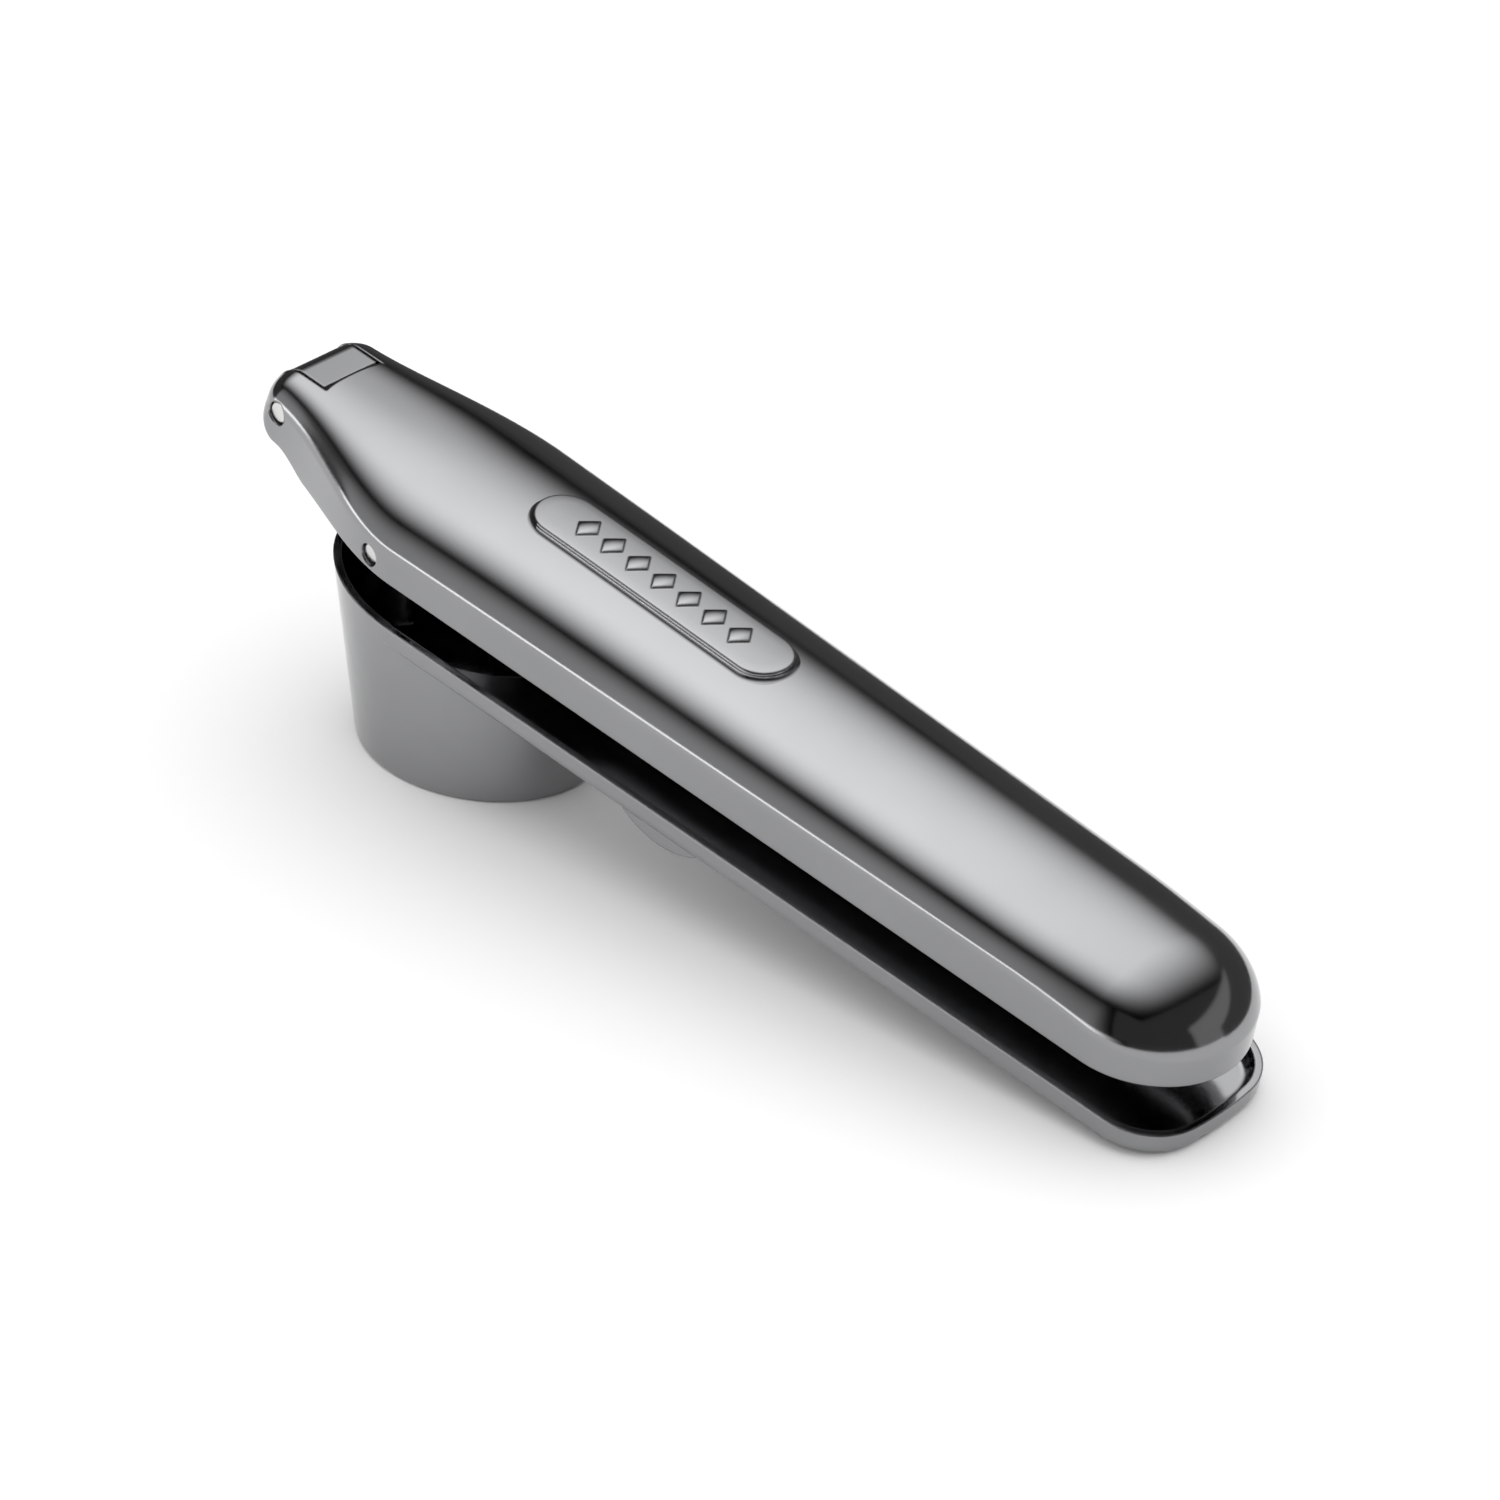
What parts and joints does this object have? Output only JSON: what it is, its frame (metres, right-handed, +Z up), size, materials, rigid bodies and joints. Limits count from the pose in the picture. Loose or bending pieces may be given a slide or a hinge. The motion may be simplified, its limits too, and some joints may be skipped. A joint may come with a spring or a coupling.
{
  "type": "garlic press",
  "caption": "Hand press with an oval sieve cup on the lower lever and a hinged upper lever that pushes an upright plunger into it.",
  "frame": {"origin": "centre of the cup's base, on the floor", "axes": "+Z up along the cup's axis, +X from the hinge to the lever tips, +Y across the levers"},
  "size_m": [0.1613, 0.0328, 0.0476],
  "materials": {
    "dark_chrome": "glossy black chrome plating",
    "dark_chrome_inner": "glossy black chrome plating",
    "pin_steel": "turned steel pin ends"
  },
  "bodies": {
    "lower": {"lower_lever": "dark_chrome", "hinge_pin": "pin_steel"},
    "upper": {"upper_lever": "dark_chrome", "plunger_pin": "pin_steel"},
    "piston": {"plunger": "dark_chrome_inner"}
  },
  "joints": [
    {"name": "lever_hinge", "type": "hinge", "parent": "lower", "child": "upper", "pos_m": [-0.02702, 0, 0.04294], "axis": [0, -1, 0], "range_deg": [0, 60]},
    {"name": "plunger_swing", "type": "hinge", "parent": "upper", "child": "piston", "pos_m": [-0.00264, 0, 0.03413], "axis": [0, -1, 0], "range_deg": [-60, 0]}
  ],
  "couplings": [
    {"joint": "plunger_swing", "follows": "lever_hinge", "ratio": -1}
  ]
}
